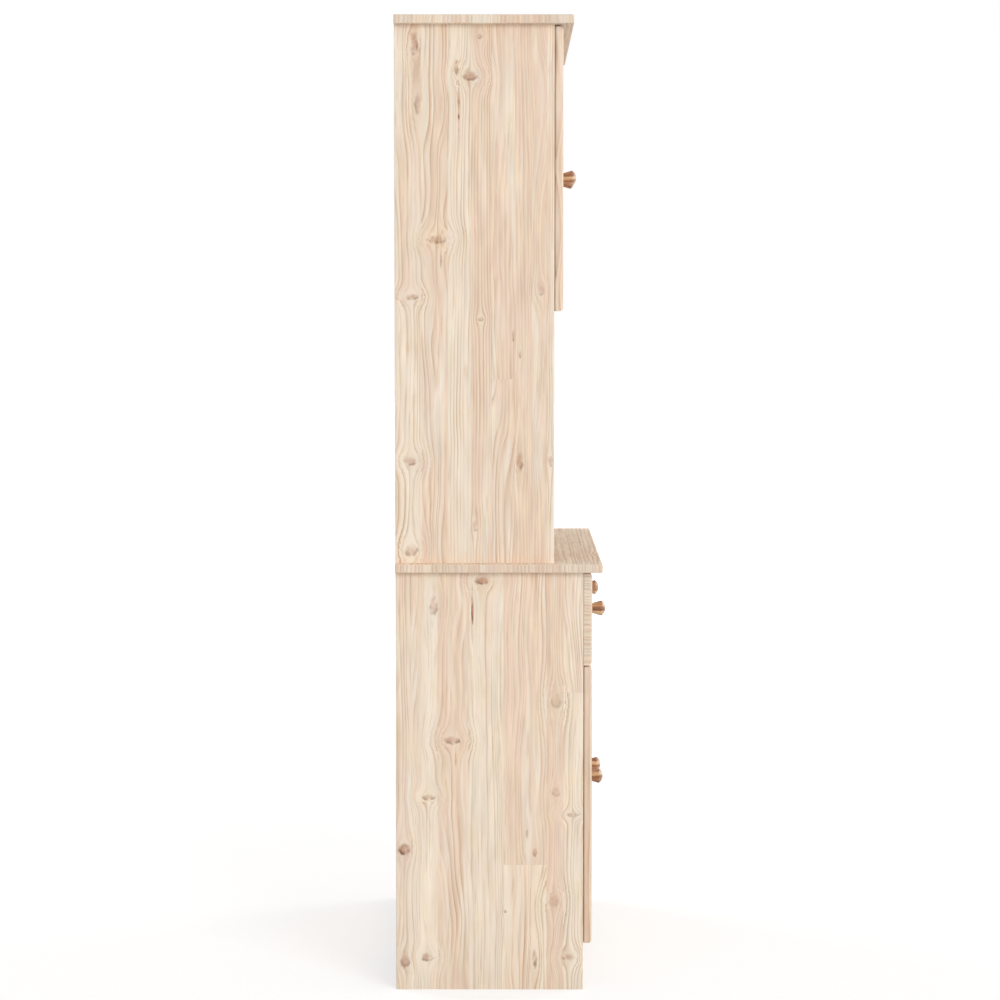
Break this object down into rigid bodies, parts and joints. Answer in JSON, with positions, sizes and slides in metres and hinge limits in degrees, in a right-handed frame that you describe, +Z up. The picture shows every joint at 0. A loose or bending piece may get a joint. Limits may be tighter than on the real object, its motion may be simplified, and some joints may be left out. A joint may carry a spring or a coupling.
{
  "type": "highboard",
  "caption": "Tall pine highboard with drawers over a lower cupboard, a deeper worktop, an open niche and an upper cupboard, with turned knobs.",
  "frame": {"origin": "on the floor, under the middle of the whole piece with its knobs", "axes": "+Z up, the front with doors and drawers faces -Y, X along the width"},
  "size_m": [0.77, 0.3612, 1.645],
  "materials": {
    "pine": "smooth sanded, untreated",
    "knob_wood": "satin varnish",
    "plywood": "sanded veneer",
    "beech": "plain",
    "hinge_steel": "nickel plated",
    "steel": "zinc plated",
    "zinc": "die cast"
  },
  "bodies": {
    "carcass": {"bottom_board": "pine", "cam_bolts": "steel", "cam_locks": "zinc", "cupboard_floor": "pine", "dowels": "beech", "drawer_board": "pine", "drawer_divider": "pine", "drawer_runners": "pine", "hinge_arms": "hinge_steel", "hinge_plates": "hinge_steel", "lower_back_panel": "plywood", "lower_left_side": "pine", "lower_right_side": "pine", "lower_shelf": "pine", "plinth_rail": "pine", "shelf_pins": "steel", "top_board": "pine", "upper_back_panel": "plywood", "upper_left_side": "pine", "upper_right_side": "pine", "upper_shelf": "pine", "worktop": "pine"},
    "upper_left_door": {"upper_left_door_hinge_cups": "hinge_steel", "upper_left_door_hinge_pins": "steel", "upper_left_door_knob": "knob_wood", "upper_left_door_knob_screw": "steel", "upper_left_door_panel": "pine"},
    "upper_right_door": {"upper_right_door_hinge_cups": "hinge_steel", "upper_right_door_hinge_pins": "steel", "upper_right_door_knob": "knob_wood", "upper_right_door_knob_screw": "steel", "upper_right_door_panel": "pine"},
    "lower_left_door": {"lower_left_door_hinge_cups": "hinge_steel", "lower_left_door_hinge_pins": "steel", "lower_left_door_knob": "knob_wood", "lower_left_door_knob_screw": "steel", "lower_left_door_panel": "pine"},
    "lower_right_door": {"lower_right_door_hinge_cups": "hinge_steel", "lower_right_door_hinge_pins": "steel", "lower_right_door_knob": "knob_wood", "lower_right_door_knob_screw": "steel", "lower_right_door_panel": "pine"},
    "left_drawer": {"left_drawer_back": "pine", "left_drawer_bottom": "plywood", "left_drawer_dowels": "beech", "left_drawer_front": "pine", "left_drawer_knob": "knob_wood", "left_drawer_knob_screw": "steel", "left_drawer_left_side": "pine", "left_drawer_right_side": "pine"},
    "right_drawer": {"right_drawer_back": "pine", "right_drawer_bottom": "plywood", "right_drawer_dowels": "beech", "right_drawer_front": "pine", "right_drawer_knob": "knob_wood", "right_drawer_knob_screw": "steel", "right_drawer_left_side": "pine", "right_drawer_right_side": "pine"}
  },
  "joints": [
    {"name": "upper_left_door_hinge", "type": "hinge", "parent": "carcass", "child": "upper_left_door", "pos_m": [-0.3573, -0.0962, 1.3905], "axis": [0, 0, -1], "range_deg": [0, 95]},
    {"name": "upper_right_door_hinge", "type": "hinge", "parent": "carcass", "child": "upper_right_door", "pos_m": [0.3573, -0.0962, 1.3905], "axis": [0, 0, 1], "range_deg": [0, 95]},
    {"name": "lower_left_door_hinge", "type": "hinge", "parent": "carcass", "child": "lower_left_door", "pos_m": [-0.3573, -0.1462, 0.3165], "axis": [0, 0, -1], "range_deg": [0, 95]},
    {"name": "lower_right_door_hinge", "type": "hinge", "parent": "carcass", "child": "lower_right_door", "pos_m": [0.3573, -0.1462, 0.3165], "axis": [0, 0, 1], "range_deg": [0, 95]},
    {"name": "left_drawer_slide", "type": "slide", "parent": "carcass", "child": "left_drawer", "axis": [0, -1, 0], "range_m": [0, 0.2]},
    {"name": "right_drawer_slide", "type": "slide", "parent": "carcass", "child": "right_drawer", "axis": [0, -1, 0], "range_m": [0, 0.2]}
  ]
}
